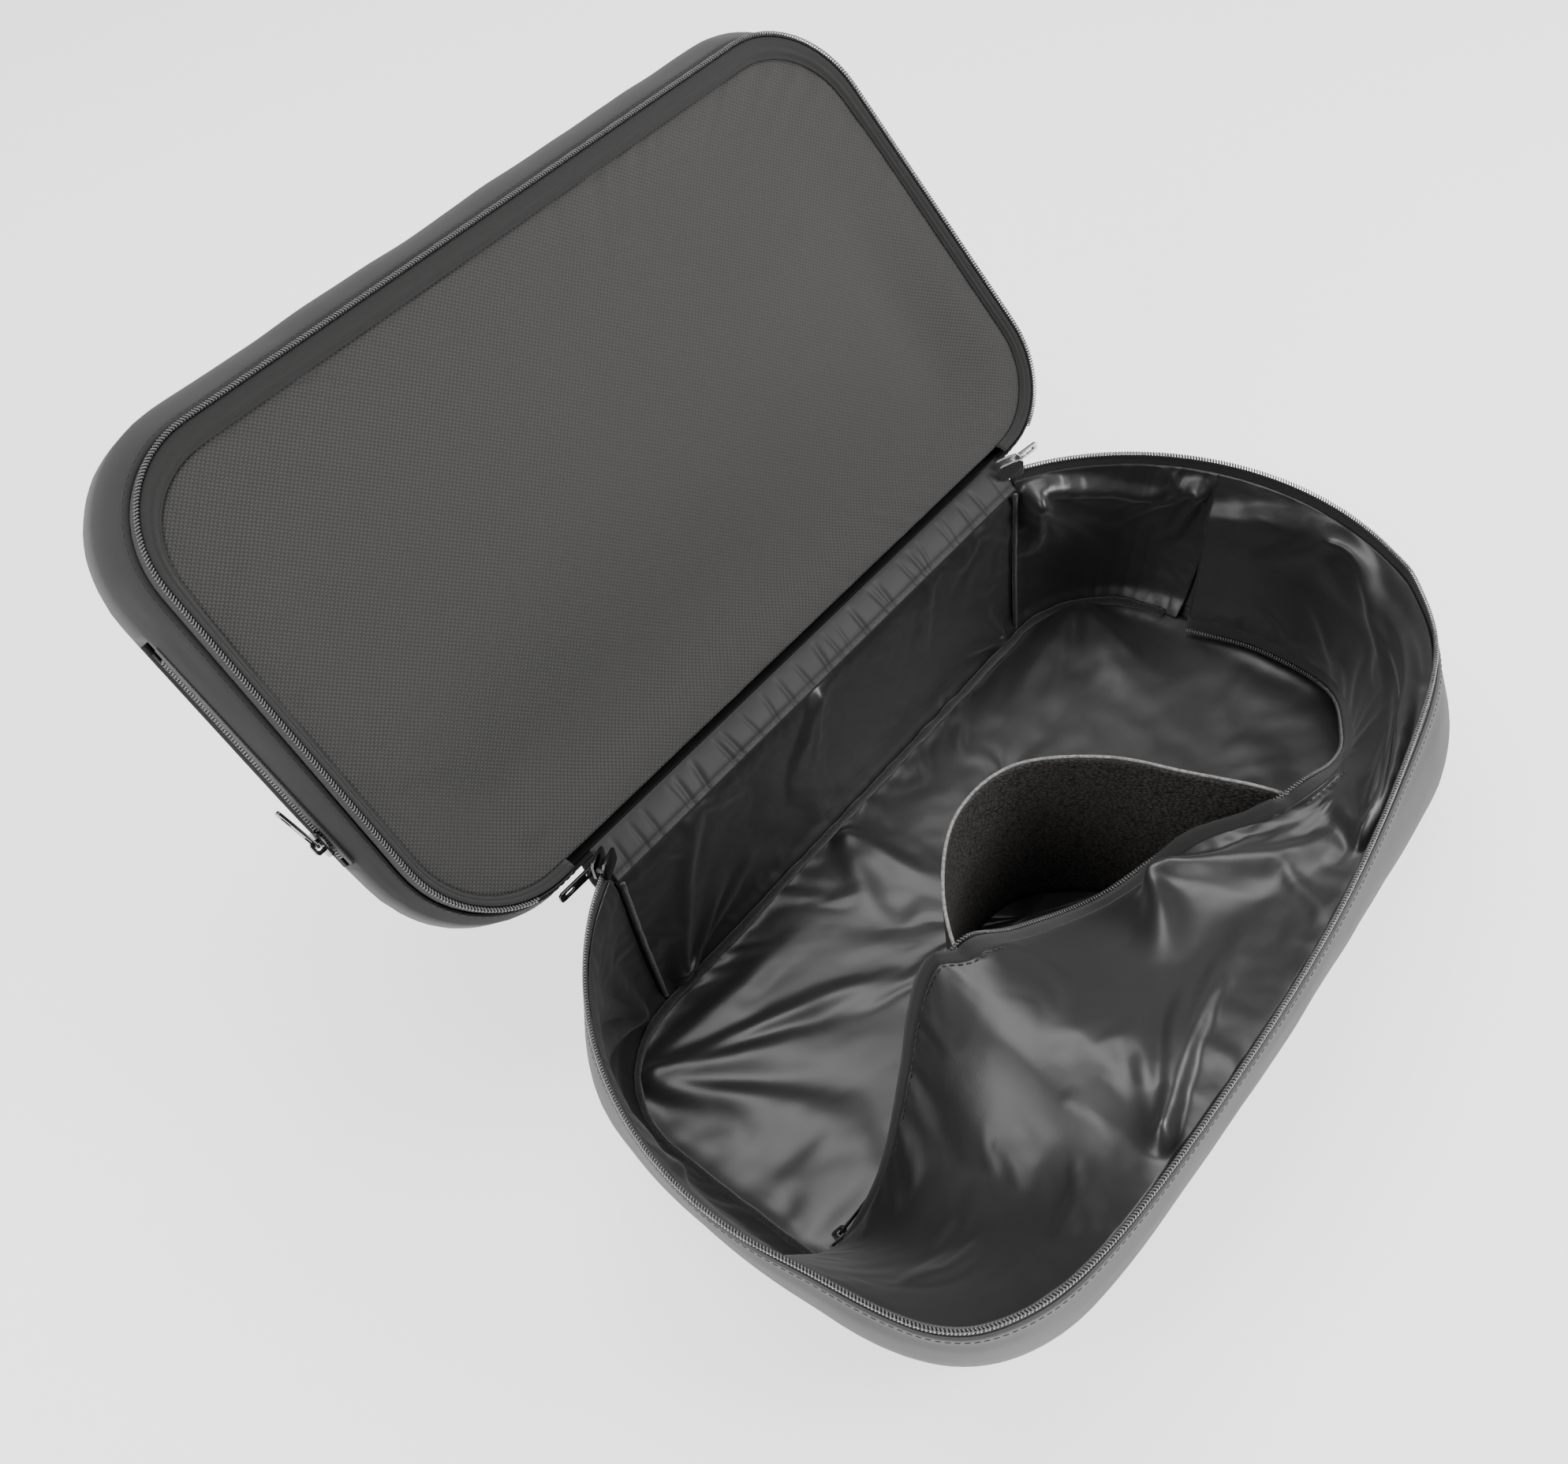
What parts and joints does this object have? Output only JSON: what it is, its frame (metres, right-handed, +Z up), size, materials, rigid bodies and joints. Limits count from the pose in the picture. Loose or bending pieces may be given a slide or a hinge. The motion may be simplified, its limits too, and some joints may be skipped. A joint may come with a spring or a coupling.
{
  "type": "golf shoe bag",
  "caption": "Soft clamshell golf shoe bag lying open: deep satin-lined tray with a stiff divider, and a zipped lid compartment on a gathered hinge.",
  "frame": {"origin": "under the middle of the tray, on the flat underside of its bottom panel", "axes": "+X along the hinge to the far end, +Y from the front to the hinge, +Z up out of the tray"},
  "size_m": [0.4173, 0.4236, 0.2667],
  "materials": {
    "neoprene": "matte charcoal knit-faced neoprene",
    "satin": "shiny black satin lining",
    "woven": "basket-woven black oxford cloth",
    "zip_tape": "matt black woven tape",
    "piping": "matt black piping",
    "zip_coil": "glossy black nylon coil",
    "leatherette": "pebbled black leatherette",
    "board": "plain black plastic board",
    "webbing": "ribbed black webbing",
    "black_metal": "glossy black enamel",
    "bright_metal": "light grey plated metal"
  },
  "bodies": {
    "tray": {"tray_wall": "neoprene", "tray_bottom_panel": "neoprene", "tray_base_board": "board", "tray_zip_tape": "zip_tape", "tray_zip_coil": "zip_coil", "floor_lining": "satin", "hinge_wall_lining": "satin", "near_end_lining": "satin", "far_end_lining": "satin", "front_lining": "satin", "floor_seam_binding": "zip_tape", "near_corner_binding": "zip_tape", "far_corner_binding": "zip_tape", "divider_panel": "leatherette", "lining_zip_tape": "zip_tape", "lining_zip_coil": "zip_coil", "floor_zip_tape": "zip_tape", "floor_zip_coil": "zip_coil", "hinge_strip": "satin", "hinge_outer_panel": "neoprene"},
    "lid": {"lid_gusset": "neoprene", "lid_face_panel": "neoprene", "lid_piping": "piping", "lid_inner_panel": "woven", "lid_zip_tape": "zip_tape", "lid_zip_coil": "zip_coil", "pocket_zip_tape_inner": "zip_tape", "pocket_zip_tape_outer": "zip_tape", "pocket_zip_coil_inner": "zip_coil", "pocket_zip_coil_outer": "zip_coil", "handle_webbing": "webbing", "handle_patch_near": "webbing", "handle_patch_far": "webbing"},
    "near_slider": {"near_slider": "black_metal"},
    "near_pull": {"near_pull": "black_metal"},
    "far_slider": {"far_slider": "bright_metal"},
    "far_pull": {"far_pull": "bright_metal"},
    "lining_slider": {"lining_slider": "black_metal"},
    "lining_pull": {"lining_pull": "black_metal"},
    "pocket_slider": {"pocket_slider": "black_metal"},
    "pocket_pull": {"pocket_pull": "black_metal"}
  },
  "joints": [
    {"name": "lid_hinge", "type": "hinge", "parent": "tray", "child": "lid", "pos_m": [0, 0.109, 0.103], "axis": [1, 0, 0], "range_deg": [0, 130]},
    {"name": "near_slider_travel", "type": "hinge", "parent": "tray", "child": "near_slider", "pos_m": [-0.075, -0.022, 0.1036], "axis": [0, 0, 1], "range_deg": [0, 72]},
    {"name": "far_slider_travel", "type": "hinge", "parent": "tray", "child": "far_slider", "pos_m": [0.0662, 0.0039, 0.1036], "axis": [0, 0, -1], "range_deg": [0, 85]},
    {"name": "lining_slider_travel", "type": "slide", "parent": "tray", "child": "lining_slider", "axis": [0.9775, -0.2105, -0.0138], "range_m": [0, 0.008]},
    {"name": "pocket_slider_travel", "type": "slide", "parent": "lid", "child": "pocket_slider", "axis": [-0.0068, 0.6943, 0.7197], "range_m": [0, 0.074]},
    {"name": "near_pull_swing", "type": "hinge", "parent": "near_slider", "child": "near_pull", "pos_m": [-0.13573, 0.10858, 0.1013], "axis": [0, 0, -1], "range_deg": [-15, 25]},
    {"name": "far_pull_swing", "type": "hinge", "parent": "far_slider", "child": "far_pull", "pos_m": [0.13597, 0.10846, 0.1013], "axis": [0, 0, 1], "range_deg": [-15, 25]},
    {"name": "lining_pull_swing", "type": "hinge", "parent": "lining_slider", "child": "lining_pull", "pos_m": [-0.17007, -0.02517, 0.01425], "axis": [-0.0735, -0.401, 0.9131], "range_deg": [-10, 100]},
    {"name": "pocket_pull_swing", "type": "hinge", "parent": "pocket_slider", "child": "pocket_pull", "pos_m": [-0.20482, 0.17093, 0.14205], "axis": [0, -0.7197, 0.6943], "range_deg": [-6, 150]}
  ]
}
